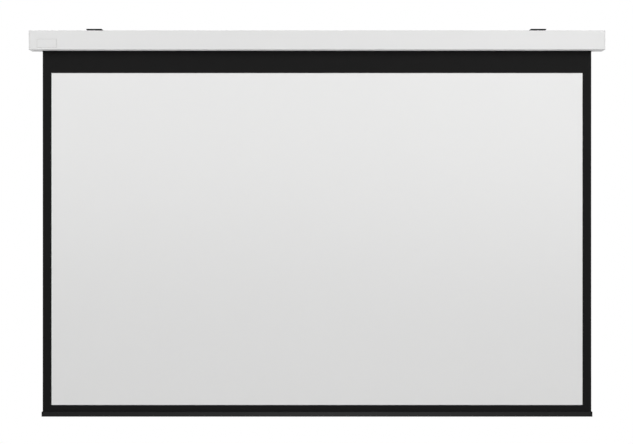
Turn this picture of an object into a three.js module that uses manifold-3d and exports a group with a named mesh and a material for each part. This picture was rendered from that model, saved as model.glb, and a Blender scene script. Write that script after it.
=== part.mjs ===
// A motorised projection screen, lowered: an aluminium casing that hangs on two sliding brackets, a
// roller turned by a tubular motor, and a white screen with a black border and a weight bar.
// Millimetres. X runs along the casing, Y towards the wall and Z up. The origin is at the middle of
// the casing's length, on the line where the wall meets the ceiling.
import * as THREE from "three";
import { mergeVertices } from "three/addons/utils/BufferGeometryUtils.js";
import Module from "manifold-3d";

const wasm = await Module();
wasm.setup();

// Clearances
const seatGap = 0.3; // between pieces that touch
const overrun = 1; // how far a cutter passes the face it cuts

// The screen fabric
const pictureWidth = 2400;
const pictureHeight = 1500;
const sideBorder = 40;
const topDrop = 100; // black between the casing and the picture
const bottomBorder = 30; // black between the picture and the weight bar
const fabricThickness = 0.5; // the black backing
const coatThickness = 0.2; // the white layer that takes the picture
const fabricWidth = pictureWidth + 2 * sideBorder;

// The weight bar at the foot of the screen
const barDepth = 16;
const barHeight = 22.5;
const barEdge = 1.5; // chamfer on the top edges
const barFootRadius = 2.5;
const barMouth = 2.6; // slit that the fabric passes
const barLip = 2;
const barChannel = 8; // width and depth of the channel that holds the hem
const barWall = 2;
const barWeb = 2; // between the hem channel and the hollow below it
const barEndGap = 0.5; // how far the profile passes the fabric at each end
const barCapThickness = 3.5;
const barCapPlug = 10; // length of the plug inside the hollow
const barLength = fabricWidth + 2 * (barEndGap + barCapThickness);

// The hem and the rod inside it
const hemRadius = 3.2;
const rodRadius = hemRadius - fabricThickness - seatGap;

// The casing
const casingDepth = 100;
const casingHeight = 85;
const casingWall = 2;
const endRoom = 51.5; // from the fabric's edge to the casing's end, at each side
const edgeRadius = 1.2; // on the casing's long edges
const footRadius = 3; // on the front cover's lower edge
const capThickness = 3;
const casingLength = fabricWidth + 2 * endRoom;

// The slot that the screen comes out of
const slotSetback = 18.4; // from the casing's back to the slot
const slotClearance = 3; // in front of the weight bar and behind it
const slotEndClearance = 4; // past each end of the weight bar
const slotLip = 8; // height of the flange along each side
const slotWidth = barDepth + 2 * slotClearance;
const slotLength = barLength + 2 * slotEndClearance;

// The groove in the casing's top that the brackets slide in
const grooveSetback = 27; // from the casing's back to the middle of the groove
const grooveMouth = 9;
const grooveWidth = 18;
const grooveDepth = 5; // under the lips

// The joint between the front cover and the back profile
const flangeDepth = 8; // the cover's top flange
const tongueThickness = 1.5;
const tongueReach = 5.5;

// Countersunk screws, and the blocks in the profiles that take them
const screwRadius = 2;
const screwHeadRadius = 3.8;
const screwHeadHeight = 1.9;
const screwRecess = 0.2; // below the face
const socketRadius = 1.4;
const socketDepth = 1.2;
const capScrewLength = 16;
const portBlock = 8;
const frontPortSetback = 82; // from the casing's back to the third block

// The brackets
const bracketWidth = 70;
const bracketThickness = 3;
const bracketBend = 4;
const bracketSetback = 19.5; // of its front edge behind the casing's front
const bracketInsets = { left: 289.5, right: 296.5 }; // from the casing's end, where each was slid to
const bracketCorner = 2;
const wallLegHeight = 60;
const wallGap = 0.5; // between the wall leg and the casing
const hangGap = 6.5; // between the bracket and the casing's top
const fixingSlotWidth = 6.5;
const fixingSlotLength = 16;
const fixingSlotSpacing = 44;
const ceilingSlotSetback = 55; // from the wall to the middle of the ceiling slots
const wallSlotDrop = 34; // from the ceiling to the middle of the wall slots

// The turn lock under each bracket, and the rivet that it turns on
const rivetRadius = 3;
const rivetHeadRadius = 5.6;
const rivetFootRadius = 4.2;
const rivetFootHeight = 1.1;
const rivetRecess = 0.2;
const lockHubRadius = 7;
const lockNeckRadius = 4.1;
const lockHeadLength = 17;
const lockHeadWidth = 8;
const lockHeadThickness = 3;
const leverLength = 44;
const leverWidth = 8;
const leverThickness = 3;
const leverDrop = 2; // of the lever below the bracket's underside

// The roller
const rollerDrop = 36.5; // from the casing's top to the roller's axis
const tubeRadius = 25;
const tubeWall = 1.5;
const tubeOverhang = 6; // past the fabric at each end
const tapeThickness = 0.3;
const tapeShare = 0.12; // share of a turn
const woundTurns = 1.5; // turns that stay on the tube when the screen is down
const turnGap = 0.45;
const turnPitch = fabricThickness + turnGap;

// The tubular motor, inside the roller's left end
const motorRadius = 21.5;
const motorWall = 1.2;
const motorLength = 500;
const headRadius = 23;
const headSpigot = 14;
const headBossSide = 14; // the square boss that the motor bracket holds
const headBossChamfer = 1.5;
const crownFlange = 3;
const crownSleeve = 20;
const sleeveWall = 1.2;
const capacitorRadius = 17;
const capacitorLength = 62;
const statorLength = 190;
const brakeLength = 42;
const outputRadius = 5.5;
const outputReach = 26; // past the gearbox
const outputDepth = 20; // inside the gearbox
const outputSquare = 8;
const driveWheelLength = 20;
const driveWheelRim = 3;
const driveWheelHub = 8;
const spokeWidth = 4;
const spokes = 6;
const limitScrewRadius = 2.6;
const limitScrewLength = 5.5;
const limitPocketDepth = 6.5;
const limitScrewPitch = 12;
const accessRadius = 3.5; // holes under the limit screws

// The end brackets inside the casing
const endPlateThickness = 3;
const endPlateWidth = 54;
const endPlateHeight = 50;
const endScrewAcross = 40; // between the two screws, along Y
const endScrewUp = 36; // between the two screws, along Z

// The idle end, inside the roller's right end
const idleSleeve = 40;
const idleFlange = 3;
const idlePinRadius = 5;
const idlePinInset = 30; // inside the plug
const bearingRadius = 12;
const bearingSpigotRadius = 7.7;
const bearingLength = 14;

// The power inlet in the left end cap
const inletSetback = 18.5; // from the casing's back to the middle of the inlet
const inletWidth = 20;
const inletHeight = 27;
const inletDepth = 18;
const inletWall = 3;
const inletCavity = 14;
const inletFlange = 1.5; // thickness of the flange outside the end cap
const inletFlangeMargin = 3; // past the hole
const inletCorner = 2;
const pinWidth = 4;
const pinThickness = 2;
const pinLength = 7;
const pinPitch = 6.5;

// The lead from the inlet to the motor
const leadRadius = 2.5;
const leadSides = 10;
const leadSteps = 24;

// The blank plate on the front cover
const plateWidth = 90;
const plateHeight = 40;
const plateThickness = 0.8;
const plateCorner = 2;
const plateInset = 36; // from the casing's left end
const plateDrop = 37.5; // from the casing's top

// How finely round faces are divided
const fineSides = 48;
const smallSides = 16;
const hexSides = 6;
const cornerSteps = 4;

// Places that the sizes give
const casingBack = -(bracketThickness + wallGap);
const casingFront = casingBack - casingDepth;
const casingTop = -(bracketThickness + hangGap);
const casingBottom = casingTop - casingHeight;
const casingEnd = casingLength / 2;
const innerBack = casingBack - casingWall;
const innerFront = casingFront + casingWall;
const innerTop = casingTop - casingWall;
const innerBottom = casingBottom + casingWall;
const capInner = casingEnd - capThickness;
const profileEnd = capInner - seatGap;
const slotBack = casingBack - slotSetback;
const slotFront = slotBack - slotWidth;
const grooveY = casingBack - grooveSetback;
const grooveFloor = innerTop - grooveDepth;
const fabricY = (slotBack + slotFront) / 2;
const barTop = casingBottom - topDrop - pictureHeight - bottomBorder;
const turnInner = tubeRadius + 2 * seatGap + tapeThickness; // inside of the innermost turn
const woundRadius = turnInner + woundTurns * turnPitch + fabricThickness / 2;
const rollerY = fabricY - woundRadius;
const rollerZ = casingTop - rollerDrop;
const tubeEnd = fabricWidth / 2 + tubeOverhang;
const tubeInner = tubeRadius - tubeWall;
const bracketReach = -(casingFront + bracketSetback);
const ports = [
  [innerBack - portBlock / 2, innerTop - portBlock / 2],
  [innerBack - portBlock / 2, innerBottom + portBlock / 2],
  [casingBack - frontPortSetback, innerTop - portBlock / 2],
  [innerFront + portBlock / 2, innerBottom + portBlock / 2],
];
const endScrews = [
  [rollerY - endScrewAcross / 2, rollerZ - endScrewUp / 2],
  [rollerY + endScrewAcross / 2, rollerZ + endScrewUp / 2],
];

// Outlines are lists of [across, up] pairs
function arc([across, up], radius, from, to, steps = cornerSteps) {
  return Array.from({ length: steps + 1 }, (_, i) => {
    const angle = from + ((to - from) * i) / steps;
    return [across + radius * Math.cos(angle), up + radius * Math.sin(angle)];
  });
}

function circle(centre, radius, sides = smallSides) {
  return arc(centre, radius, 0, 2 * Math.PI, sides).slice(0, sides);
}

function rectangle(left, bottom, right, top) {
  return [
    [left, bottom],
    [right, bottom],
    [right, top],
    [left, top],
  ];
}

// A rectangle whose corners, from the lower left round to the upper left, have their own radii.
function roundedRectangle(left, bottom, right, top, radii) {
  const [lowerLeft, lowerRight, upperRight, upperLeft] = radii;
  const quarter = Math.PI / 2;
  return [
    ...arc([left + lowerLeft, bottom + lowerLeft], lowerLeft, -2 * quarter, -quarter),
    ...arc([right - lowerRight, bottom + lowerRight], lowerRight, -quarter, 0),
    ...arc([right - upperRight, top - upperRight], upperRight, 0, quarter),
    ...arc([left + upperLeft, top - upperLeft], upperLeft, quarter, 2 * quarter),
  ];
}

// A slot with round ends, its length running up.
function slotOutline([across, up], width, length) {
  const reach = (length - width) / 2;
  return [
    ...arc([across, up + reach], width / 2, 0, Math.PI),
    ...arc([across, up - reach], width / 2, Math.PI, 2 * Math.PI),
  ];
}

function shapeOf(points, holes = []) {
  const vectors = (pairs) => pairs.map(([a, b]) => new THREE.Vector2(a, b));
  const shape = new THREE.Shape(vectors(points));
  shape.holes = holes.map((hole) => new THREE.Path(vectors(hole)));
  return shape;
}

// Extrusions: alongX takes a [y, z] outline, alongY an [x, z] one and alongZ an [x, y] one.
const axisX = new THREE.Vector3(1, 0, 0);
const axisY = new THREE.Vector3(0, 1, 0);
const axisZ = new THREE.Vector3(0, 0, 1);
const minus = (axis) => axis.clone().negate();

function extrusion(points, holes, from, to, basis) {
  const settings = { depth: to - from, bevelEnabled: false };
  const geometry = new THREE.ExtrudeGeometry(shapeOf(points, holes), settings);
  geometry.translate(0, 0, from);
  return geometry.applyMatrix4(new THREE.Matrix4().makeBasis(...basis));
}

const alongX = (points, from, to, holes = []) =>
  extrusion(points, holes, from, to, [axisY, axisZ, axisX]);
const alongY = (points, from, to, holes = []) =>
  extrusion(points, holes, -to, -from, [axisX, axisZ, minus(axisY)]);
const alongZ = (points, from, to, holes = []) =>
  extrusion(points, holes, from, to, [axisX, axisY, axisZ]);

// Turned pieces, from closed outlines of [radius, distance along the axis] pairs.
function turned(points, basis, sides) {
  const closed = [...points, points[0]];
  const onAxis = points[0][0] === 0 && points.at(-1)[0] === 0;
  const profile = (onAxis ? points : closed).map(([r, a]) => new THREE.Vector2(r, a));
  const geometry = new THREE.LatheGeometry(profile, sides);
  return geometry.applyMatrix4(new THREE.Matrix4().makeBasis(...basis));
}

const turnedX = (points, [y, z], sides = fineSides) =>
  turned(points, [axisY, axisX, minus(axisZ)], sides).translate(0, y, z);
const turnedZ = (points, [x, y], sides = smallSides) =>
  turned(points, [axisX, axisZ, minus(axisY)], sides).translate(x, y, 0);

// A ring from inner to outer radius, between two places on its axis.
const ring = (inner, outer, from, to) => [
  [inner, from],
  [outer, from],
  [outer, to],
  [inner, to],
];
const rod = (radius, from, to) => ring(0, radius, from, to);

// Joining and cutting
function solidOf(geometry) {
  const bare = geometry.index ? geometry.toNonIndexed() : geometry.clone();
  bare.deleteAttribute("normal");
  bare.deleteAttribute("uv");
  const merged = mergeVertices(bare);
  const vertProperties = merged.attributes.position.array;
  const triVerts = new Uint32Array(merged.index.array);
  return new wasm.Manifold(new wasm.Mesh({ numProp: 3, vertProperties, triVerts }));
}

function geometryOf(solid) {
  const { vertProperties, triVerts } = solid.getMesh();
  const geometry = new THREE.BufferGeometry();
  geometry.setAttribute("position", new THREE.BufferAttribute(vertProperties, 3));
  geometry.setIndex(new THREE.BufferAttribute(triVerts, 1));
  geometry.computeVertexNormals();
  return geometry;
}

const combine = (way) => (first, ...others) =>
  geometryOf(others.reduce((made, other) => made[way](solidOf(other)), solidOf(first)));
const cut = combine("subtract");
const join = combine("add");
const common = combine("intersect");

// Materials
const finish = (color, roughness, metalness) =>
  new THREE.MeshStandardMaterial({ color, roughness, metalness });
const whitePaint = finish(0xe9e9e8, 0.55, 0);
const whitePlastic = finish(0xe6e6e4, 0.5, 0);
const blackPaint = finish(0x161616, 0.5, 0);
const blackPlastic = finish(0x1b1b1b, 0.45, 0);
const blackFabric = finish(0x1e1e1e, 0.9, 0);
const whiteCoat = finish(0xf0f0ee, 0.95, 0);
const zincSteel = finish(0xb9bcc0, 0.35, 1);
const bareAluminium = finish(0xc4c6c9, 0.4, 1);
const brass = finish(0xc9a24a, 0.35, 1);
const greyPlastic = finish(0x6c6f72, 0.6, 0);
const copperWound = finish(0x9a5b34, 0.5, 0.6);

const screen = new THREE.Group();

function add(name, geometry, material) {
  const mesh = new THREE.Mesh(geometry, material);
  mesh.name = name;
  screen.add(mesh);
}

// The back profile: top, back and the strip behind the slot, in one extrusion with the groove
function backProfile() {
  const quarter = Math.PI / 2;
  const stepY = casingFront + flangeDepth + seatGap; // where the cover's flange ends
  const tongueTop = innerTop - seatGap;
  const tongueFoot = tongueTop - tongueThickness;
  const tongueTip = stepY - tongueReach;
  const [frontPortY] = ports[2];
  const outline = [
    ...arc([casingBack - edgeRadius, casingTop - edgeRadius], edgeRadius, 0, quarter),
    [grooveY + grooveMouth / 2, casingTop],
    [grooveY + grooveMouth / 2, innerTop],
    [grooveY + grooveWidth / 2, innerTop],
    [grooveY + grooveWidth / 2, grooveFloor],
    [grooveY - grooveWidth / 2, grooveFloor],
    [grooveY - grooveWidth / 2, innerTop],
    [grooveY - grooveMouth / 2, innerTop],
    [grooveY - grooveMouth / 2, casingTop],
    [stepY, casingTop],
    [stepY, tongueTop],
    [tongueTip, tongueTop],
    [tongueTip, tongueFoot],
    [stepY + casingWall, tongueFoot],
    [stepY + casingWall, innerTop],
    [frontPortY - portBlock / 2, innerTop],
    [frontPortY - portBlock / 2, innerTop - portBlock],
    [frontPortY + portBlock / 2, innerTop - portBlock],
    [frontPortY + portBlock / 2, innerTop],
    [grooveY - grooveWidth / 2 - casingWall, innerTop],
    [grooveY - grooveWidth / 2 - casingWall, grooveFloor - casingWall],
    [grooveY + grooveWidth / 2 + casingWall, grooveFloor - casingWall],
    [grooveY + grooveWidth / 2 + casingWall, innerTop],
    [innerBack - portBlock, innerTop],
    [innerBack - portBlock, innerTop - portBlock],
    [innerBack, innerTop - portBlock],
    [innerBack, innerBottom + portBlock],
    [innerBack - portBlock, innerBottom + portBlock],
    [innerBack - portBlock, innerBottom],
    [slotBack + casingWall, innerBottom],
    [slotBack + casingWall, casingBottom + slotLip],
    [slotBack, casingBottom + slotLip],
    [slotBack, casingBottom],
    ...arc([casingBack - edgeRadius, casingBottom + edgeRadius], edgeRadius, -quarter, 0),
  ];
  const bores = ports.slice(0, 3).map((port) => circle(port, screwRadius + seatGap));
  add("back_profile", alongX(outline, -profileEnd, profileEnd, bores), whitePaint);
}

// The front cover: the fascia and the strip in front of the slot, clipped over the tongue
function frontCover() {
  const quarter = Math.PI / 2;
  const flangeEnd = casingFront + flangeDepth;
  const outline = [
    [flangeEnd, casingTop],
    [flangeEnd, innerTop],
    [innerFront, innerTop],
    [innerFront, innerBottom + portBlock],
    [innerFront + portBlock, innerBottom + portBlock],
    [innerFront + portBlock, innerBottom],
    [slotFront - casingWall, innerBottom],
    [slotFront - casingWall, casingBottom + slotLip],
    [slotFront, casingBottom + slotLip],
    [slotFront, casingBottom],
    ...arc([casingFront + footRadius, casingBottom + footRadius], footRadius, -quarter, -2 * quarter),
    ...arc([casingFront + edgeRadius, casingTop - edgeRadius], edgeRadius, 2 * quarter, quarter),
  ];
  const bore = circle(ports[3], screwRadius + seatGap);
  const cover = alongX(outline, -profileEnd, profileEnd, [bore]);
  const accessHole = rod(accessRadius, casingBottom - overrun, innerBottom + overrun);
  const accessHoles = limitScrewsX.map((x) => turnedZ(accessHole, [x, rollerY]));
  add("front_cover", cut(cover, ...accessHoles), whitePaint);
}

// The blank plate at the left of the fascia
function blankPlate() {
  const left = plateInset - casingEnd;
  const top = casingTop - plateDrop;
  const radii = [plateCorner, plateCorner, plateCorner, plateCorner];
  const outline = roundedRectangle(left, top - plateHeight, left + plateWidth, top, radii);
  const back = casingFront - seatGap;
  add("blank_plate", alongY(outline, back - plateThickness, back), whitePaint);
}

// A countersunk screw whose head faces along X, at the end that side names
const screwOutline = (length) => [
  [0, -length],
  [screwRadius, -length],
  [screwRadius, -screwHeadHeight],
  [screwHeadRadius, 0],
  [0, 0],
];

function facingEnd(geometry, side) {
  return side > 0 ? geometry : geometry.rotateZ(Math.PI);
}

function endScrew(name, [y, z], length, side) {
  const face = casingEnd - screwRecess;
  const body = turnedX(screwOutline(length), [0, 0], smallSides);
  const socket = alongX(circle([0, 0], socketRadius, hexSides), -socketDepth, overrun);
  const made = facingEnd(cut(body, socket), side).translate(side * face, y, z);
  add(name, made, zincSteel);
}

// The hole for that screw through an end cap
function screwHole([y, z], side) {
  const radius = screwRadius + seatGap;
  const headRadius = screwHeadRadius + seatGap;
  const through = alongX(circle([0, 0], radius), -capThickness - overrun, overrun);
  const cone = turnedX(
    [
      [0, -screwHeadHeight - screwRecess],
      [radius, -screwHeadHeight - screwRecess],
      [headRadius, -screwRecess],
      [headRadius, overrun],
      [0, overrun],
    ],
    [0, 0],
    smallSides,
  );
  return facingEnd(join(through, cone), side).translate(side * casingEnd, y, z);
}

// An end cap: a plate with a tongue that closes the end of the slot
function endCap(name, side) {
  const outline = roundedRectangle(casingFront, casingBottom, casingBack, casingTop, [
    footRadius,
    edgeRadius,
    edgeRadius,
    edgeRadius,
  ]);
  const [from, to] = side > 0 ? [capInner, casingEnd] : [-casingEnd, -capInner];
  const tongueOutline = rectangle(
    slotFront + seatGap,
    casingBottom,
    slotBack - seatGap,
    innerBottom,
  );
  const tongueFrom = side > 0 ? slotLength / 2 : -casingEnd;
  const tongueTo = side > 0 ? casingEnd : -slotLength / 2;
  const plate = join(alongX(outline, from, to), alongX(tongueOutline, tongueFrom, tongueTo));
  const holes = [...ports, ...endScrews].map((place) => screwHole(place, side));
  if (side < 0) holes.push(inletHole());
  add(name, cut(plate, ...holes), whitePlastic);
}

// The plates that carry the roller, screwed to the inside of the end caps
function endPlate(name, side, hole) {
  const outline = rectangle(
    rollerY - endPlateWidth / 2,
    rollerZ - endPlateHeight / 2,
    rollerY + endPlateWidth / 2,
    rollerZ + endPlateHeight / 2,
  );
  const outer = side * profileEnd;
  const inner = side * (profileEnd - endPlateThickness);
  const bores = endScrews.map((place) => circle(place, screwRadius + seatGap));
  const [from, to] = [Math.min(outer, inner), Math.max(outer, inner)];
  add(name, alongX(outline, from, to, [hole, ...bores]), zincSteel);
}

// The power inlet: a socket with three pins, whose flange lies on the left end cap
const inletY = casingBack - inletSetback;
const inletInner = -casingEnd + inletDepth;

function inletOutline(grow) {
  const halfWidth = inletWidth / 2 + grow;
  const halfHeight = inletHeight / 2 + grow;
  const [left, right] = [inletY - halfWidth, inletY + halfWidth];
  return rectangle(left, rollerZ - halfHeight, right, rollerZ + halfHeight);
}

function inletHole() {
  return alongX(inletOutline(seatGap), -casingEnd - overrun, -capInner + overrun);
}

function powerInlet() {
  const floor = -casingEnd + inletCavity;
  const flangeBack = -casingEnd - seatGap;
  const flangeFace = flangeBack - inletFlange;
  const body = alongX(inletOutline(0), flangeFace, inletInner);
  const [[left, bottom], , [right, top]] = inletOutline(inletFlangeMargin);
  const corners = [inletCorner, inletCorner, inletCorner, inletCorner];
  const flange = alongX(roundedRectangle(left, bottom, right, top, corners), flangeFace, flangeBack);
  const cavity = alongX(inletOutline(-inletWall), flangeFace - overrun, floor);
  add("power_inlet", cut(join(body, flange), cavity), blackPlastic);
  ["live", "earth", "neutral"].forEach((name, i) => {
    const z = rollerZ + (1 - i) * pinPitch;
    const root = floor - seatGap;
    const outline = rectangle(
      inletY - pinWidth / 2,
      z - pinThickness / 2,
      inletY + pinWidth / 2,
      z + pinThickness / 2,
    );
    add(`inlet_pin_${name}`, alongX(outline, root - pinLength, root), brass);
  });
}

// The motor's head, held by its square boss, with two limit screws in its underside
const headOuter = -(profileEnd - endPlateThickness - seatGap);
const crownOuter = -(tubeEnd + seatGap + crownFlange);
const headInner = crownOuter - seatGap;
const limitScrewsX = [-1, 1].map((way) => (headOuter + headInner + way * limitScrewPitch) / 2);

function squareOutline(side, chamfer) {
  const half = side / 2;
  const near = half - chamfer;
  const corners = [
    [half, near],
    [near, half],
    [-near, half],
    [-half, near],
    [-half, -near],
    [-near, -half],
    [near, -half],
    [half, -near],
  ];
  return corners.map(([a, b]) => [rollerY + a, rollerZ + b]);
}

function motorHead() {
  const spigotRadius = motorRadius - motorWall - seatGap;
  const body = turnedX(
    [
      [0, headOuter],
      [headRadius, headOuter],
      [headRadius, headInner],
      [spigotRadius, headInner],
      [spigotRadius, headInner + headSpigot],
      [0, headInner + headSpigot],
    ],
    [rollerY, rollerZ],
  );
  const boss = alongX(
    squareOutline(headBossSide, headBossChamfer),
    -profileEnd,
    headOuter + overrun,
  );
  const foot = rollerZ - headRadius;
  const pocket = rod(limitScrewRadius + seatGap, foot - overrun, foot + limitPocketDepth);
  const pockets = limitScrewsX.map((x) => turnedZ(pocket, [x, rollerY]));
  add("motor_head", cut(join(body, boss), ...pockets), blackPlastic);
  ["up", "down"].forEach((name, i) => {
    const seat = foot + limitPocketDepth - seatGap;
    const face = seat - limitScrewLength;
    const centre = [limitScrewsX[i], rollerY];
    const hexagon = circle(centre, socketRadius, hexSides);
    const socket = alongZ(hexagon, face - overrun, face + socketDepth);
    add(`limit_screw_${name}`, cut(turnedZ(rod(limitScrewRadius, face, seat), centre), socket), brass);
  });
}

// The lead from the inlet round to the motor's head
function motorLead() {
  const start = new THREE.Vector3(inletInner + seatGap, inletY, rollerZ);
  const end = new THREE.Vector3(headInner - 2 * leadRadius, rollerY + headRadius + seatGap, rollerZ);
  const straight = 2 * leadRadius;
  const corner = new THREE.Vector3(end.x, start.y, start.z);
  const route = new THREE.CurvePath();
  const bendFrom = start.clone().add(new THREE.Vector3(straight, 0, 0));
  const bendTo = end.clone().add(new THREE.Vector3(0, straight, 0));
  route.add(new THREE.LineCurve3(start, bendFrom));
  route.add(new THREE.QuadraticBezierCurve3(bendFrom, corner, bendTo));
  route.add(new THREE.LineCurve3(bendTo, end));
  const section = shapeOf(circle([0, 0], leadRadius, leadSides));
  const settings = { steps: leadSteps, extrudePath: route };
  add("motor_lead", new THREE.ExtrudeGeometry(section, settings), blackPlastic);
}

// The motor: a steel tube with the capacitor, windings, brake and gearbox in a row inside it
const motorFrom = headInner + seatGap;
const motorTo = motorFrom + motorLength;
const driveFrom = motorTo + outputReach - driveWheelLength;

function motor() {
  const centre = [rollerY, rollerZ];
  const bore = motorRadius - motorWall;
  add("motor_tube", turnedX(ring(bore, motorRadius, motorFrom, motorTo), centre), zincSteel);
  const coreRadius = bore - seatGap;
  let place = headInner + headSpigot + seatGap;
  const capacitor = rod(capacitorRadius, place, place + capacitorLength);
  add("motor_capacitor", turnedX(capacitor, centre), greyPlastic);
  place += capacitorLength + seatGap;
  add("motor_windings", turnedX(rod(coreRadius, place, place + statorLength), centre), copperWound);
  place += statorLength + seatGap;
  add("motor_brake", turnedX(rod(coreRadius, place, place + brakeLength), centre), blackPlastic);
  place += brakeLength + seatGap;
  const boreRadius = outputRadius + seatGap;
  const boreFloor = motorTo - outputDepth - seatGap;
  const gearbox = [
    [0, place],
    [coreRadius, place],
    [coreRadius, motorTo],
    [boreRadius, motorTo],
    [boreRadius, boreFloor],
    [0, boreFloor],
  ];
  add("motor_gearbox", turnedX(gearbox, centre), zincSteel);
}

// What turns with the roller at the motor's end: the crown, the output shaft and the drive wheel
function driveEnd() {
  const centre = [rollerY, rollerZ];
  const sleeveRadius = tubeInner - seatGap;
  const crown = [
    [sleeveRadius - sleeveWall, crownOuter],
    [tubeRadius, crownOuter],
    [tubeRadius, crownOuter + crownFlange],
    [sleeveRadius, crownOuter + crownFlange],
    [sleeveRadius, crownOuter + crownFlange + crownSleeve],
    [sleeveRadius - sleeveWall, crownOuter + crownFlange + crownSleeve],
  ];
  add("crown_ring", turnedX(crown, centre), greyPlastic);
  const journal = turnedX(rod(outputRadius, motorTo - outputDepth, driveFrom - seatGap), centre);
  const square = alongX(squareOutline(outputSquare, 0), driveFrom - overrun, motorTo + outputReach);
  add("output_shaft", join(journal, square), zincSteel);
  const to = driveFrom + driveWheelLength - seatGap;
  const rim = turnedX(ring(sleeveRadius - driveWheelRim, sleeveRadius, driveFrom, to), centre);
  const hub = turnedX(rod(driveWheelHub, driveFrom, to), centre);
  const armReach = sleeveRadius - driveWheelRim / 2;
  const arm = rectangle(-armReach, -spokeWidth / 2, armReach, spokeWidth / 2);
  const arms = Array.from({ length: spokes / 2 }, (_, i) =>
    alongX(arm, driveFrom, to)
      .rotateX((i * 2 * Math.PI) / spokes)
      .translate(0, rollerY, rollerZ),
  );
  const boreOutline = squareOutline(outputSquare + 2 * seatGap, 0);
  const bore = alongX(boreOutline, driveFrom - overrun, to + overrun);
  add("drive_wheel", cut(join(rim, hub, ...arms), bore), greyPlastic);
}

// The roller tube, and the fabric that stays wound on it
function roller() {
  const centre = [rollerY, rollerZ];
  add("roller_tube", turnedX(ring(tubeInner, tubeRadius, -tubeEnd, tubeEnd), centre), bareAluminium);

  const stepsPerTurn = 36;
  const steps = Math.round(woundTurns * stepsPerTurn);
  const spiral = (inward, step) => {
    const turns = (woundTurns * step) / steps;
    const radius = woundRadius - turns * turnPitch + (inward ? -1 : 1) * (fabricThickness / 2);
    const angle = 2 * Math.PI * turns;
    return [rollerY + radius * Math.cos(angle), rollerZ + radius * Math.sin(angle)];
  };
  const count = Array.from({ length: steps + 1 }, (_, i) => i);
  const outline = [
    ...count.map((i) => spiral(false, i)),
    ...count.reverse().map((i) => spiral(true, i)),
  ];
  add("wound_fabric", alongX(outline, -fabricWidth / 2, fabricWidth / 2), blackFabric);

  const inner = tubeRadius + seatGap;
  const endAngle = 2 * Math.PI * woundTurns;
  const startAngle = endAngle - 2 * Math.PI * tapeShare;
  const tape = [
    ...arc(centre, inner + tapeThickness, startAngle, endAngle),
    ...arc(centre, inner, endAngle, startAngle),
  ];
  add("fixing_tape", alongX(tape, -fabricWidth / 2, fabricWidth / 2), whitePlastic);
}

// The idle end: a plug in the tube, its pin, and the bearing in the right end plate
function idleEnd() {
  const centre = [rollerY, rollerZ];
  const sleeveRadius = tubeInner - seatGap;
  const boreRadius = idlePinRadius + seatGap;
  const flangeFrom = tubeEnd + seatGap;
  const flangeTo = flangeFrom + idleFlange;
  const pinFrom = flangeTo - idlePinInset;
  const plug = [
    [0, tubeEnd - idleSleeve],
    [sleeveRadius, tubeEnd - idleSleeve],
    [sleeveRadius, flangeFrom],
    [tubeRadius, flangeFrom],
    [tubeRadius, flangeTo],
    [boreRadius, flangeTo],
    [boreRadius, pinFrom - seatGap],
    [0, pinFrom - seatGap],
  ];
  add("idle_plug", turnedX(plug, centre), greyPlastic);
  add("idle_pin", turnedX(rod(idlePinRadius, pinFrom, profileEnd - seatGap), centre), zincSteel);
  const plateInner = profileEnd - endPlateThickness - seatGap;
  const bearing = [
    [boreRadius, plateInner - bearingLength],
    [bearingRadius, plateInner - bearingLength],
    [bearingRadius, plateInner],
    [bearingSpigotRadius, plateInner],
    [bearingSpigotRadius, profileEnd],
    [boreRadius, profileEnd],
  ];
  add("idle_bearing", turnedX(bearing, centre), blackPlastic);
}

// The screen: a black sheet from the roller down to a hem that goes round the rod in the bar, and
// the white layer on its front that takes the picture
const hemZ = barTop - barLip - barChannel / 2;

function hangingFabric() {
  const half = fabricThickness / 2;
  const top = rollerZ - seatGap;
  const meet = Math.asin(half / hemRadius);
  const quarter = Math.PI / 2;
  const outline = [
    [fabricY - half, top],
    ...arc([fabricY, hemZ], hemRadius, quarter + meet, 5 * quarter - meet, smallSides),
    [fabricY + half, top],
  ];
  const hole = circle([fabricY, hemZ], hemRadius - fabricThickness);
  add("screen_fabric", alongX(outline, -fabricWidth / 2, fabricWidth / 2, [hole]), blackFabric);
  const coatBack = fabricY - half - seatGap;
  const pictureTop = casingBottom - topDrop;
  const picture = rectangle(coatBack - coatThickness, pictureTop - pictureHeight, coatBack, pictureTop);
  add("picture_surface", alongX(picture, -pictureWidth / 2, pictureWidth / 2), whiteCoat);
  const length = fabricWidth / 2 - seatGap;
  add("hem_rod", turnedX(rod(rodRadius, -length, length), [fabricY, hemZ], smallSides), greyPlastic);
}

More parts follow.
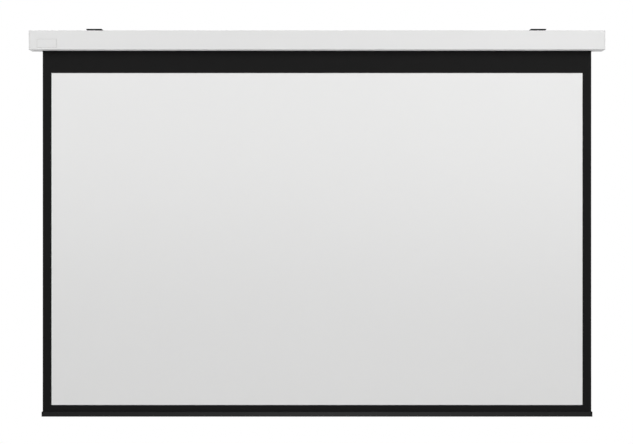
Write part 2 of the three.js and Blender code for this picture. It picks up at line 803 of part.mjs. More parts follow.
// The weight bar: a black profile with a channel for the hem over a hollow that holds a steel
// ballast bar, and a cap at each end
function weightBar() {
  const half = barDepth / 2;
  const foot = barTop - barHeight;
  const quarter = Math.PI / 2;
  const outside = [
    [fabricY + half - barEdge, barTop],
    [fabricY + half, barTop - barEdge],
    ...arc([fabricY + half - barFootRadius, foot + barFootRadius], barFootRadius, 0, -quarter),
    ...arc([fabricY - half + barFootRadius, foot + barFootRadius], barFootRadius, -quarter, -2 * quarter),
    [fabricY - half, barTop - barEdge],
    [fabricY - half + barEdge, barTop],
  ];
  const channelTop = barTop - barLip;
  const channelFloor = channelTop - barChannel;
  const channel = [
    [fabricY - barMouth / 2, barTop],
    [fabricY - barMouth / 2, channelTop],
    [fabricY - barChannel / 2, channelTop],
    [fabricY - barChannel / 2, channelFloor],
    [fabricY + barChannel / 2, channelFloor],
    [fabricY + barChannel / 2, channelTop],
    [fabricY + barMouth / 2, channelTop],
    [fabricY + barMouth / 2, barTop],
  ];
  const hollow = (inset) =>
    rectangle(
      fabricY - half + barWall + inset,
      foot + barWall + inset,
      fabricY + half - barWall - inset,
      channelFloor - barWeb - inset,
    );
  const end = fabricWidth / 2 + barEndGap - seatGap;
  const profile = alongX([...outside, ...channel], -end, end, [hollow(0)]);
  add("weight_bar", profile, blackPaint);
  const ballastEnd = end - barCapPlug - seatGap;
  add("ballast_bar", alongX(hollow(seatGap), -ballastEnd, ballastEnd), zincSteel);
  for (const side of [-1, 1]) {
    const inner = side * (end + seatGap);
    const outer = side * (barLength / 2);
    const plug = side * (end - barCapPlug);
    const plate = alongX(outside, Math.min(inner, outer), Math.max(inner, outer));
    const tongue = alongX(hollow(seatGap), Math.min(plug, outer), Math.max(plug, outer));
    add(side < 0 ? "bar_cap_left" : "bar_cap_right", join(plate, tongue), blackPlastic);
  }
}

// A bracket: a steel angle with slots for wall or ceiling fixings, and a turn lock riveted under it
function bracket(word, side) {
  const name = `bracket_${word}`;
  const x = side * (casingEnd - bracketInsets[word]);
  const quarter = Math.PI / 2;
  const innerBend = bracketBend - bracketThickness;
  const angle = alongX(
    [
      [-bracketReach, -bracketThickness],
      ...arc([-bracketBend, -bracketBend], innerBend, quarter, 0),
      [-bracketThickness, -wallLegHeight],
      [0, -wallLegHeight],
      ...arc([-bracketBend, -bracketBend], bracketBend, 0, quarter),
      [-bracketReach, 0],
    ],
    -bracketWidth / 2,
    bracketWidth / 2,
  );
  const halfWidth = bracketWidth / 2;
  const plan = roundedRectangle(-halfWidth, -bracketReach, halfWidth, overrun, [
    bracketCorner,
    bracketCorner,
    0,
    0,
  ]);
  const front = roundedRectangle(-halfWidth, -wallLegHeight, halfWidth, overrun, [
    bracketCorner,
    bracketCorner,
    0,
    0,
  ]);
  const blank = common(
    angle,
    alongZ(plan, -wallLegHeight - overrun, overrun),
    alongY(front, -bracketReach - overrun, overrun),
  );
  const slots = [-1, 1].flatMap((way) => {
    const across = (way * fixingSlotSpacing) / 2;
    return [
      alongZ(
        slotOutline([across, -ceilingSlotSetback], fixingSlotWidth, fixingSlotLength),
        -bracketThickness - overrun,
        overrun,
      ),
      alongY(
        slotOutline([across, -wallSlotDrop], fixingSlotWidth, fixingSlotLength),
        -bracketThickness - overrun,
        overrun,
      ),
    ];
  });
  const shankHole = rivetRadius + seatGap;
  const headHole = rivetHeadRadius + seatGap;
  const headFoot = -bracketThickness + rivetRecess;
  const rivetHole = turnedZ(
    [
      [0, -bracketThickness - overrun],
      [shankHole, -bracketThickness - overrun],
      [shankHole, headFoot],
      [headHole, -rivetRecess],
      [headHole, overrun],
      [0, overrun],
    ],
    [0, grooveY],
  );
  add(`${name}_plate`, cut(blank, ...slots, rivetHole).translate(x, 0, 0), blackPaint);

  const footTop = grooveFloor + seatGap + rivetFootHeight;
  const rivet = turnedZ(
    [
      [0, grooveFloor + seatGap],
      [rivetFootRadius, grooveFloor + seatGap],
      [rivetFootRadius, footTop],
      [rivetRadius, footTop],
      [rivetRadius, headFoot],
      [rivetHeadRadius, -rivetRecess],
      [0, -rivetRecess],
    ],
    [x, grooveY],
  );
  add(`${name}_rivet`, rivet, zincSteel);

  const hubTop = -bracketThickness - seatGap;
  const hubFoot = casingTop + seatGap;
  const headTop = innerTop - seatGap;
  const headBottom = headTop - lockHeadThickness;
  const leverTop = -bracketThickness - leverDrop;
  const hub = turnedZ(rod(lockHubRadius, hubFoot, hubTop), [0, 0]);
  const neck = turnedZ(rod(lockNeckRadius, headTop - overrun, hubFoot + overrun), [0, 0]);
  const reach = lockHeadLength / 2;
  const head = common(
    turnedZ(rod(reach, headBottom, headTop), [0, 0]),
    alongZ(
      rectangle(-lockHeadWidth / 2, -reach - overrun, lockHeadWidth / 2, reach + overrun),
      headBottom - overrun,
      headTop + overrun,
    ),
  );
  const lever = alongZ(
    [
      [leverWidth / 2, 0],
      [-leverWidth / 2, 0],
      ...arc([0, -leverLength + leverWidth / 2], leverWidth / 2, -Math.PI, 0),
    ],
    leverTop - leverThickness,
    leverTop,
  );
  const bore = turnedZ(rod(rivetRadius + seatGap, headBottom - overrun, hubTop + overrun), [0, 0]);
  const lock = cut(join(hub, neck, head, lever), bore).translate(x, grooveY, 0);
  add(`${name}_lock`, lock, zincSteel);
}

backProfile();
frontCover();
blankPlate();
for (const [word, side] of [["left", -1], ["right", 1]]) {
  endCap(`end_cap_${word}`, side);
  ports.forEach((port, i) => {
    endScrew(`cap_screw_${word}_${i + 1}`, port, capScrewLength, side);
  });
  const plateScrewLength = capThickness + seatGap + endPlateThickness;
  endScrews.forEach((place, i) => {
    endScrew(`plate_screw_${word}_${i + 1}`, place, plateScrewLength, side);
  });
  bracket(word, side);
}
const bossHole = squareOutline(headBossSide + 2 * seatGap, headBossChamfer);
endPlate("motor_bracket", -1, bossHole);
const spigotHole = circle([rollerY, rollerZ], bearingSpigotRadius + seatGap, fineSides);
endPlate("idle_bracket", 1, spigotHole);
powerInlet();
motorHead();
motorLead();
motor();
driveEnd();
roller();
idleEnd();
hangingFabric();
weightBar();

export default screen;
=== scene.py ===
# A motorised projection screen, lowered: a white casing that hangs on two black brackets, a white
# screen with a black border, and a black weight bar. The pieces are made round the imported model,
# in its frame. Metres; X runs along the casing, Y towards the wall and Z up.
import math

import bpy
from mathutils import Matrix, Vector


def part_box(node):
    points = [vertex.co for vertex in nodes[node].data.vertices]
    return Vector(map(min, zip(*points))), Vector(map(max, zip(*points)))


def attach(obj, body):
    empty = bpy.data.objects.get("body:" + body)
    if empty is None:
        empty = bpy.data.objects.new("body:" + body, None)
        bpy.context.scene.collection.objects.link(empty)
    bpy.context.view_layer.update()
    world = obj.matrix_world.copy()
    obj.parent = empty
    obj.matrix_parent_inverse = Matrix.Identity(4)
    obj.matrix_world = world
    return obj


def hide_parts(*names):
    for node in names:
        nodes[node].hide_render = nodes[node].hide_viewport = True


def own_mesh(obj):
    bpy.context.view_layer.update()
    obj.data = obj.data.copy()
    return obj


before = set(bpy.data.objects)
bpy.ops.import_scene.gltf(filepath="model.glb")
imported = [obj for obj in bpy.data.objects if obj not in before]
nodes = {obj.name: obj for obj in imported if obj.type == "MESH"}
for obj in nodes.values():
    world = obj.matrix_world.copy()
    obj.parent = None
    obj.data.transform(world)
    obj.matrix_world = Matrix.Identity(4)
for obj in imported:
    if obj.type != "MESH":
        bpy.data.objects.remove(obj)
scene = bpy.context.scene
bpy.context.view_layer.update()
bpy.ops.object.select_all(action="DESELECT")


# The stage. The camera stands square on to the screen, level with its middle, as in the photograph.
camera_place = (-0.0022, -7.7085, -0.8675)
lens = 96.56
sensor = 36
bpy.ops.object.camera_add(location=camera_place, rotation=(math.pi / 2, 0, 0))
camera = bpy.context.object
camera.name = "camera"
camera.data.lens = lens
camera.data.sensor_width = sensor
camera.data.sensor_fit = "HORIZONTAL"
scene.camera = camera
scene.view_settings.view_transform = "Standard"

# Two wide soft lamps stand in front, a little above the casing, and the right one is the stronger,
# so the picture is brightest at its top right. A low one in the middle puts a sheen on the weight
# bar, a narrow one low down near the wall shines up under the casing, and one lights the back.
def soft_lamp(name, place, aim, width, height, watts, spread):
    """A rectangular lamp that stands at a place and faces another, out of the camera's sight."""
    bpy.ops.object.light_add(type="AREA", location=place)
    lamp = bpy.context.object
    lamp.name = name
    lamp.data.shape = "RECTANGLE"
    lamp.data.size = width
    lamp.data.size_y = height
    lamp.data.energy = watts
    lamp.data.spread = math.radians(spread)
    way = Vector(aim) - Vector(place)
    lamp.rotation_euler = way.to_track_quat("-Z", "Y").to_euler()
    lamp.visible_camera = False


# Each row gives a lamp's name, its place, what it faces, its width, its height, its watts and the
# angle of its light in degrees.
for lamp in (
    ("left_lamp", (-3.1, -3.6, 0.8), (-0.95, 0, 0.2), 3.0, 1.4, 66.5, 180),
    ("right_lamp", (2.5, -3.6, 0.8), (0.75, 0, 0.2), 3.0, 1.4, 74.5, 180),
    ("low_lamp", (0.2, -7.2, -2.4), (0, 0, -1.2), 1.4, 0.6, 66, 180),
    ("foot_lamp", (-0.05, -0.75, -2.5), (-0.05, -0.06, -0.1), 2.8, 0.3, 0.8, 20),
    ("back_lamp", (-0.6, 4.6, 2.6), (0, 0, -0.9), 6.0, 2.0, 160, 180),
):
    soft_lamp(*lamp)


def add_math(tree, operation, first, second):
    """A math node on two inputs, each a socket or a number."""
    node = tree.nodes.new("ShaderNodeMath")
    node.operation = operation
    for i, value in enumerate((first, second)):
        if isinstance(value, (int, float)):
            node.inputs[i].default_value = value
        else:
            tree.links.new(value, node.inputs[i])
    return node.outputs[0]


def add_mix(tree, share, first, second):
    """A shader that goes from the first to the second as the share goes from 0 to 1."""
    mix = tree.nodes.new("ShaderNodeMixShader")
    for i, socket in enumerate((share, first, second)):
        tree.links.new(socket, mix.inputs[i])
    return mix.outputs[0]


def seen_rays(tree):
    """1 for what the camera sees, straight on, mirrored or through glass, and otherwise 0."""
    rays = tree.nodes.new("ShaderNodeLightPath").outputs
    seen = add_math(tree, "MAXIMUM", rays["Is Camera Ray"], rays["Is Glossy Ray"])
    return add_math(tree, "MAXIMUM", seen, rays["Is Transmission Ray"])


def white_room(tree, strength):
    """An even white all round."""
    white = tree.nodes.new("ShaderNodeBackground")
    white.inputs["Color"].default_value = (1, 1, 1, 1)
    white.inputs["Strength"].default_value = strength
    return white.outputs[0]


# The room looks plain white, and gives the object only a soft even light.
room_light = 0.29
world = bpy.data.worlds.new("room")
scene.world = world
world.use_nodes = True
tree = world.node_tree
tree.nodes.clear()
room = add_mix(tree, seen_rays(tree), white_room(tree, room_light), white_room(tree, 1))
out = tree.nodes.new("ShaderNodeOutputWorld")
tree.links.new(room, out.inputs["Surface"])

# The floor is a plain pale disc that fades into the white room, and shows only from above.
floor_place = (0, 0, -2.6)
floor_radius = 5.2
floor_sides = 96
floor_fade_from = 2.2
floor_tone = 0.64  # what it gives the object
floor_glow = 0.5  # share of plain white where it is seen itself, under the object's shadow
bpy.ops.mesh.primitive_circle_add(
    vertices=floor_sides, radius=floor_radius, fill_type="NGON", location=floor_place
)
floor = bpy.context.object
floor.name = "floor"
floor_material = bpy.data.materials.new("floor_pale")
floor_material.use_nodes = True
tree = floor_material.node_tree
tree.nodes.clear()
place = tree.nodes.new("ShaderNodeTexCoord")
reach = tree.nodes.new("ShaderNodeVectorMath")
reach.operation = "LENGTH"
tree.links.new(place.outputs["Object"], reach.inputs[0])
fade = tree.nodes.new("ShaderNodeMapRange")
fade.interpolation_type = "SMOOTHSTEP"
fade.inputs["From Min"].default_value = floor_fade_from
fade.inputs["From Max"].default_value = floor_radius
tree.links.new(reach.outputs["Value"], fade.inputs["Value"])
side = tree.nodes.new("ShaderNodeNewGeometry")
hidden = add_math(tree, "MAXIMUM", fade.outputs["Result"], side.outputs["Backfacing"])
matt = tree.nodes.new("ShaderNodeBsdfDiffuse")
matt.inputs["Color"].default_value = (floor_tone, floor_tone, floor_tone, 1)
glow = tree.nodes.new("ShaderNodeEmission")
glow_share = add_math(tree, "MULTIPLY", seen_rays(tree), floor_glow)
pale = add_mix(tree, glow_share, matt.outputs[0], glow.outputs[0])
clear = tree.nodes.new("ShaderNodeBsdfTransparent")
out = tree.nodes.new("ShaderNodeOutputMaterial")
tree.links.new(add_mix(tree, hidden, pale, clear.outputs[0]), out.inputs["Surface"])
floor.data.materials.append(floor_material)


# The casing's two extrusions: the back profile with the bracket groove, and the front cover clipped
# over it. Both are aluminium with a white powder coat, which rounds every edge a little and dries
# with a fine pebbled grain.
coat_edge = 0.0004
coat_grain = 1500  # pebbles to the metre, roughly
pebble_detail = 2
cloud_scale = 3.5  # drifts to the metre, roughly
cloud_detail = 3
merge_distance = 0.000001
flat_angle = 0.5  # degrees, between triangles that are one flat face
crease_angle = 35  # degrees, past which an edge stays an edge


def pattern_group(name, inputs, outputs=("Tone", "Relief")):
    """A node group that turns a place on the surface into a tone from 0 to 1 and a relief."""
    group = bpy.data.node_groups.new(name, "ShaderNodeTree")
    group.interface.new_socket("Place", in_out="INPUT", socket_type="NodeSocketVector")
    for socket, value in inputs.items():
        made = group.interface.new_socket(socket, in_out="INPUT", socket_type="NodeSocketFloat")
        made.default_value = value
    for socket in outputs:
        group.interface.new_socket(socket, in_out="OUTPUT", socket_type="NodeSocketFloat")
    start = group.nodes.new("NodeGroupInput")
    end = group.nodes.new("NodeGroupOutput")
    return group, start, end


def add_noise(tree, place, scale, detail, roughness=0.5):
    """A noise texture whose scale is a socket or a number."""
    noise = tree.nodes.new("ShaderNodeTexNoise")
    noise.inputs["Detail"].default_value = detail
    noise.inputs["Roughness"].default_value = roughness
    if isinstance(scale, (int, float)):
        noise.inputs["Scale"].default_value = scale
    else:
        tree.links.new(scale, noise.inputs["Scale"])
    tree.links.new(place, noise.inputs["Vector"])
    return noise.outputs["Fac"]


# Grain: fine pebbles, with a slow drift of tone over decimetres from handling and dust.
grain, start, end = pattern_group("grain", {"Scale": 1000, "Drift": 0.3})
pebbles = add_noise(grain, start.outputs["Place"], start.outputs["Scale"], pebble_detail)
clouds = add_noise(grain, start.outputs["Place"], cloud_scale, cloud_detail)
share = add_math(grain, "MULTIPLY", clouds, start.outputs["Drift"])
rest = add_math(grain, "SUBTRACT", 1, start.outputs["Drift"])
fine = add_math(grain, "MULTIPLY", pebbles, rest)
grain.links.new(add_math(grain, "ADD", share, fine), end.inputs["Tone"])
grain.links.new(pebbles, end.inputs["Relief"])


def finish(
    name, pattern, values, colors, roughness, relief, metallic=0.0, specular=0.5, coords="Object"
):
    """A material: its colour and roughness run between two values with the pattern's tone, and the
    pattern's relief, in metres, is its bump."""
    plain_material = bpy.data.materials.get(name)
    if plain_material:
        plain_material.name = f"cad_{name}"
    material = bpy.data.materials.new(name)
    material.use_nodes = True
    tree = material.node_tree
    shader = tree.nodes["Principled BSDF"]
    shader.inputs["Metallic"].default_value = metallic
    shader.inputs["Specular IOR Level"].default_value = specular
    place = tree.nodes.new("ShaderNodeTexCoord")
    surface = tree.nodes.new("ShaderNodeGroup")
    surface.node_tree = pattern
    for socket, value in values.items():
        surface.inputs[socket].default_value = value
    tree.links.new(place.outputs[coords], surface.inputs["Place"])
    tint = tree.nodes.new("ShaderNodeMix")
    tint.data_type = "RGBA"
    tint.inputs["A"].default_value = (*colors[0], 1)
    tint.inputs["B"].default_value = (*colors[1], 1)
    tree.links.new(surface.outputs["Tone"], tint.inputs["Factor"])
    tree.links.new(tint.outputs["Result"], shader.inputs["Base Color"])
    rough = tree.nodes.new("ShaderNodeMapRange")
    rough.inputs["To Min"].default_value = roughness[0]
    rough.inputs["To Max"].default_value = roughness[1]
    tree.links.new(surface.outputs["Tone"], rough.inputs["Value"])
    tree.links.new(rough.outputs["Result"], shader.inputs["Roughness"])
    bump = tree.nodes.new("ShaderNodeBump")
    bump.inputs["Strength"].default_value = 1
    bump.inputs["Distance"].default_value = relief
    tree.links.new(surface.outputs["Relief"], bump.inputs["Height"])
    tree.links.new(bump.outputs["Normal"], shader.inputs["Normal"])
    return material


def choose(piece):
    """Makes a piece the only one selected."""
    bpy.ops.object.select_all(action="DESELECT")
    piece.select_set(True)
    bpy.context.view_layer.objects.active = piece


def smooth(piece, angle=crease_angle):
    """Smooths what is round, and keeps flat faces flat up to their rounded edges."""
    choose(piece)
    bpy.ops.object.shade_smooth_by_angle(angle=math.radians(angle))
    flatten = piece.modifiers.new("flats", "WEIGHTED_NORMAL")
    flatten.keep_sharp = True
    flatten.weight = 100
    bpy.ops.object.modifier_apply(modifier=flatten.name)


def soften(piece, edge, steps=2):
    """Rounds a piece's sharp edges."""
    choose(piece)
    bpy.ops.object.transform_apply()
    bevel = piece.modifiers.new("edges", "BEVEL")
    bevel.width = edge
    bevel.segments = steps
    bevel.limit_method = "ANGLE"
    bevel.angle_limit = math.radians(crease_angle)
    bpy.ops.object.modifier_apply(modifier=bevel.name)
    smooth(piece)


def leave_edit():
    """Goes back from editing a mesh to the objects."""
    bpy.ops.object.mode_set(mode="OBJECT")


def eased(name, node, edge, steps=2):
    """A copy of a CAD node with its triangles merged into faces and its sharp edges rounded."""
    piece = bpy.data.objects.new(name, nodes[node].data.copy())
    piece.data.name = name
    piece.data.materials.clear()
    scene.collection.objects.link(piece)
    choose(piece)
    bpy.ops.object.mode_set(mode="EDIT")
    bpy.ops.mesh.select_all(action="SELECT")
    bpy.ops.mesh.customdata_custom_splitnormals_clear()
    bpy.ops.mesh.remove_doubles(threshold=merge_distance)
    bpy.ops.mesh.dissolve_limited(angle_limit=math.radians(flat_angle))
    leave_edit()
    soften(piece, edge, steps)
    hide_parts(node)
    return piece


def fit(piece, body, material):
    """Gives a finished piece its material and record slot, and the body that it moves with."""
    piece.data.materials.clear()
    piece.data.materials.append(material)
    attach(piece, body)


casing_white = finish(
    "casing_white",
    grain,
    {"Scale": coat_grain, "Drift": 0.35},
    colors=((0.742, 0.742, 0.739), (0.772, 0.772, 0.769)),
    roughness=(0.5, 0.62),
    relief=0.00004,
)
fit(eased("casing_back", "back_profile", coat_edge), "casing", casing_white)
fit(eased("casing_cover", "front_cover", coat_edge), "casing", casing_white)


# The blank plate at the fascia's left: thin sheet in the same white, smoother than the coat beside
# it. The fine groove inside its edge is painted dark as shade, which shows as a faint rectangle. It
# is bare.
plate_corner = 0.002
plate_rim = 0.001
groove_side = 0.00006
groove_width = 0.0005
groove_depth = 0.0005
unshaded_depth = 0.0003  # how far behind its face the plate is left unshaded; faces further back get painted shade
plate_edge = 0.0001
aligned = 0.9  # the part of a direction along an axis, past which it counts as along it
low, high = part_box("blank_plate")

# Groove shade sheet: fine pebbles, and painted shade (no tone at all) on the faces behind the
# level, in the groove.
groove_shade, start, end = pattern_group("groove_shade_sheet", {"Scale": 900, "Pebbles": 0.05, "Level": 0})
parts = groove_shade.nodes.new("ShaderNodeSeparateXYZ")
groove_shade.links.new(start.outputs["Place"], parts.inputs[0])
unshaded = add_math(groove_shade, "LESS_THAN", parts.outputs["Y"], start.outputs["Level"])
pebbles = add_noise(groove_shade, start.outputs["Place"], start.outputs["Scale"], pebble_detail)
loss = add_math(groove_shade, "MULTIPLY", pebbles, start.outputs["Pebbles"])
groove_shade.links.new(add_math(groove_shade, "SUBTRACT", unshaded, loss), end.inputs["Tone"])
groove_shade.links.new(pebbles, end.inputs["Relief"])

# The dark colour is painted shade in the groove round the plate, and the light one is the plate's
# white.
plate_white = finish(
    "plate_white",
    groove_shade,
    {"Level": low.y + unshaded_depth},
    colors=((0.42, 0.42, 0.41), (0.758, 0.758, 0.755)),
    roughness=(0.7, 0.5),
    relief=0.00001,
)


def block(name, low, high):
    """A block between two corners, ready to be shaped."""
    low, high = Vector(low), Vector(high)
    bpy.ops.mesh.primitive_cube_add(size=1, location=(low + high) / 2)
    piece = bpy.context.object
    piece.name = piece.data.name = name
    piece.scale = high - low
    choose(piece)
    bpy.ops.object.transform_apply()
    return piece


def pick_faces(piece, wanted):
    """Opens a piece for editing with the faces selected whose middle and normal pass."""
    choose(piece)
    bpy.ops.object.mode_set(mode="EDIT")
    bpy.context.tool_settings.mesh_select_mode = (False, False, True)
    bpy.ops.mesh.select_all(action="DESELECT")
    leave_edit()
    for face in piece.data.polygons:
        face.select = wanted(face.center, face.normal)
    bpy.ops.object.mode_set(mode="EDIT")


def pick_edges(piece, wanted):
    """Opens a piece for editing with the edges selected whose middle and direction pass."""
    choose(piece)
    bpy.ops.object.mode_set(mode="EDIT")
    bpy.context.tool_settings.mesh_select_mode = (False, True, False)
    bpy.ops.mesh.select_all(action="DESELECT")
    leave_edit()
    for edge in piece.data.edges:
        one, other = (piece.data.vertices[v].co for v in edge.vertices)
        edge.select = wanted((one + other) / 2, (other - one).normalized())
    bpy.ops.object.mode_set(mode="EDIT")


plate = block("blank_badge_plate", low, high)
pick_edges(plate, lambda middle, way: abs(way.y) > aligned)
bpy.ops.mesh.bevel(offset=plate_corner, segments=5)
leave_edit()
pick_faces(plate, lambda middle, normal: normal.y < -aligned)
for width, sink in (
    (plate_rim, 0),
    (groove_side, groove_depth),
    (groove_width, 0),
    (groove_side, -groove_depth),
):
    bpy.ops.mesh.inset(thickness=width)
    bpy.ops.transform.translate(value=(0, sink, 0))
leave_edit()
soften(plate, plate_edge)
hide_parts("blank_plate")
fit(plate, "casing", plate_white)


# The end caps are moulded in white plastic, spark-textured, and each is held by four zinc-plated
# countersunk screws into the profiles. Two shorter screws hold the roller's plate inside it.
cap_edge = 0.0007
cap_white = finish(
    "cap_white",
    grain,
    {"Scale": 2200, "Drift": 0.25},
    colors=((0.735, 0.735, 0.73), (0.762, 0.762, 0.757)),
    roughness=(0.46, 0.58),
    relief=0.00003,
)
for side in ("left", "right"):
    fit(eased(f"casing_end_{side}", f"end_cap_{side}", cap_edge), "casing", cap_white)

# Plated and drawn metal: streaks along one axis, and the cloudy spangle of the zinc.
streak_detail = 2
spangle_scale = 260
drawn, start, end = pattern_group("drawn_metal", {"Across": 900, "Along": 12, "Spangle": 0.3})
parts = drawn.nodes.new("ShaderNodeSeparateXYZ")
drawn.links.new(start.outputs["Place"], parts.inputs[0])
stretch = drawn.nodes.new("ShaderNodeCombineXYZ")
for axis, socket in (("X", "Along"), ("Y", "Across"), ("Z", "Across")):
    stretched = add_math(drawn, "MULTIPLY", parts.outputs[axis], start.outputs[socket])
    drawn.links.new(stretched, stretch.inputs[axis])
streaks = add_noise(drawn, stretch.outputs[0], 1, streak_detail)
spangle = drawn.nodes.new("ShaderNodeTexVoronoi")
spangle.inputs["Scale"].default_value = spangle_scale
drawn.links.new(start.outputs["Place"], spangle.inputs["Vector"])
share = add_math(drawn, "MULTIPLY", spangle.outputs["Distance"], start.outputs["Spangle"])
rest = add_math(drawn, "SUBTRACT", 1, start.outputs["Spangle"])
fine = add_math(drawn, "MULTIPLY", streaks, rest)
drawn.links.new(add_math(drawn, "ADD", share, fine), end.inputs["Tone"])
drawn.links.new(streaks, end.inputs["Relief"])

zinc_steel = finish(
    "zinc_steel",
    drawn,
    {"Across": 500, "Along": 300, "Spangle": 0.6},
    colors=((0.44, 0.45, 0.47), (0.6, 0.61, 0.63)),
    roughness=(0.28, 0.46),
    relief=0.00001,
    metallic=1.0,
)


def turned(name, centre, axis, outline, ring=False, sides=64):
    """A turned piece: a circle is extruded from one [radius, place on the axis] step to the next.
    A ring's outline closes on itself, and any other piece is closed by a disc at each end."""
    along = Vector((1, 0, 0)) if axis == "X" else Vector((0, 0, 1))
    centre = Vector(centre)
    centre -= along * centre.dot(along)
    radius, place = outline[0]
    bpy.ops.mesh.primitive_circle_add(
        vertices=sides,
        radius=radius,
        fill_type="NOTHING" if ring else "NGON",
        location=centre + along * place,
        rotation=(0, math.pi / 2, 0) if axis == "X" else (0, 0, 0),
    )
    piece = bpy.context.object
    piece.name = piece.data.name = name
    choose(piece)
    bpy.ops.object.transform_apply()
    bpy.ops.object.mode_set(mode="EDIT")
    bpy.context.tool_settings.mesh_select_mode = (True, False, False)
    bpy.ops.mesh.select_all(action="SELECT")
    for next_radius, next_place in [*outline[1:], *(outline[:1] if ring else [])]:
        bpy.ops.mesh.extrude_region_move(
            TRANSFORM_OT_translate={"value": along * (next_place - place)}
        )
        share = next_radius / radius
        bpy.ops.transform.resize(
            value=(share, share, share), center_override=centre + along * next_place
        )
        radius, place = next_radius, next_place
    bpy.ops.mesh.select_all(action="SELECT")
    bpy.ops.mesh.remove_doubles(threshold=merge_distance)
    bpy.ops.mesh.normals_make_consistent(inside=False)
    leave_edit()
    return piece


def combined(piece, other, way):
    """Joins another piece to this one, or cuts it out of this one, and removes the other."""
    change = piece.modifiers.new("change", "BOOLEAN")
    change.operation = way
    change.object = other
    change.solver = "EXACT"
    choose(piece)
    bpy.ops.object.modifier_apply(modifier=change.name)
    bpy.data.objects.remove(other)


screw_radius = 0.002
screw_head = 0.0038
screw_head_height = 0.0019
screw_point = 0.0005
socket_radius = 0.0014
socket_depth = 0.0012
screw_edge = 0.00015
screw_sides = 48


def end_screw(name, node, side):
    """A countersunk screw with a hexagon socket, its head facing out at one end of the casing."""
    low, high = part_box(node)
    centre = (low + high) / 2
    face, tip = (high.x, low.x) if side > 0 else (low.x, high.x)
    piece = turned(
        name,
        centre,
        "X",
        [
            (screw_radius - screw_point, tip),
            (screw_radius, tip + side * screw_point),
            (screw_radius, face - side * screw_head_height),
            (screw_head, face),
        ],
        sides=screw_sides,
    )
    bpy.ops.mesh.primitive_cylinder_add(
        vertices=6,
        radius=socket_radius,
        depth=2 * socket_depth,
        location=(face, centre.y, centre.z),
        rotation=(0, math.pi / 2, 0),
    )
    combined(piece, bpy.context.object, "DIFFERENCE")
    soften(piece, screw_edge)
    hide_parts(node)
    fit(piece, "casing", zinc_steel)


for word, side in (("left", -1), ("right", 1)):
    for number in range(1, 5):
        end_screw(f"end_screw_{word}_{number}", f"cap_screw_{word}_{number}", side)
    for number in range(1, 3):
        end_screw(f"bearer_screw_{word}_{number}", f"plate_screw_{word}_{number}", side)


# The brackets: pressed steel angles in black powder coat, slotted for wall or ceiling fixings. Each
# has a zinc-plated turn lock riveted under it, whose head grips the casing's groove.
bracket_edge = 0.0005
bracket_black = finish(
    "bracket_black",
    grain,
    {"Scale": 1200, "Drift": 0.35},
    colors=((0.007, 0.007, 0.0074), (0.012, 0.012, 0.0124)),
    roughness=(0.58, 0.7),
    relief=0.00005,
    specular=0.08,
)
hub_radius = 0.007
neck_radius = 0.0041
lock_bore = 0.0033
lock_head_thickness = 0.003
lock_head_width = 0.008
lock_head_reach = 0.0085
hub_height = 0.0059
lever_width = 0.008
lever_top = -0.005
lever_thickness = 0.003
rivet_shank = 0.003
rivet_foot = 0.0042
rivet_foot_height = 0.0011
rivet_head_foot = -0.0028
rivet_edge = 0.0002
lock_edge = 0.0003
lever_flat = 0.0002  # left between the rounded corners of the lever's end
mill_overrun = 0.0001

for side in ("left", "right"):
    plate = eased(f"hanging_angle_{side}", f"bracket_{side}_plate", bracket_edge)
    fit(plate, f"bracket_{side}", bracket_black)

    low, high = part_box(f"bracket_{side}_rivet")
    centre = (low + high) / 2
    rivet = turned(
        f"lock_rivet_{side}",
        centre,
        "Z",
        [
            (rivet_foot, low.z),
            (rivet_foot, low.z + rivet_foot_height),
            (rivet_shank, low.z + rivet_foot_height),
            (rivet_shank, rivet_head_foot),
            ((high.x - low.x) / 2, high.z),
        ],
        sides=screw_sides,
    )
    soften(rivet, rivet_edge)
    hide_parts(f"bracket_{side}_rivet")
    fit(rivet, f"bracket_{side}", zinc_steel)

    low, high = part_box(f"bracket_{side}_lock")
    hub_foot = high.z - hub_height
    head_top = low.z + lock_head_thickness
    lock = turned(
        f"turn_lock_{side}",
        centre,
        "Z",
        [
            (lock_bore, low.z),
            (lock_head_reach, low.z),
            (lock_head_reach, head_top),
            (neck_radius, head_top),
            (neck_radius, hub_foot),
            (hub_radius, hub_foot),
            (hub_radius, high.z),
            (lock_bore, high.z),
        ],
        ring=True,
    )
    # The head is milled flat along both sides.
    for way in (-1, 1):
        near = centre.x + way * lock_head_width / 2
        far = centre.x + way * 2 * lock_head_reach
        flat = block(
            "mill",
            (min(near, far), centre.y - 2 * lock_head_reach, low.z - lock_head_thickness),
            (max(near, far), centre.y + 2 * lock_head_reach, head_top + mill_overrun),
        )
        combined(lock, flat, "DIFFERENCE")
    lever = block(
        "lever",
        (centre.x - lever_width / 2, low.y, lever_top - lever_thickness),
        (centre.x + lever_width / 2, centre.y - neck_radius, lever_top),
    )
    pick_edges(
        lever, lambda middle, way: abs(way.z) > aligned and middle.y < low.y + lever_thickness
    )
    bpy.ops.mesh.bevel(offset=(lever_width - lever_flat) / 2, segments=10)
    leave_edit()
    combined(lock, lever, "UNION")
    soften(lock, lock_edge)
    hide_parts(f"bracket_{side}_lock")
    fit(lock, f"lock_{side}", zinc_steel)


# Inside each end cap a zinc-plated steel plate carries the roller: the left one has a square hole
# for the motor's boss, and the right one a round hole for the idle bearing.
bearer_edge = 0.0003
for node, name in (("motor_bracket", "motor_bearer"), ("idle_bracket", "idle_bearer")):
    fit(eased(name, node, bearer_edge), "casing", zinc_steel)


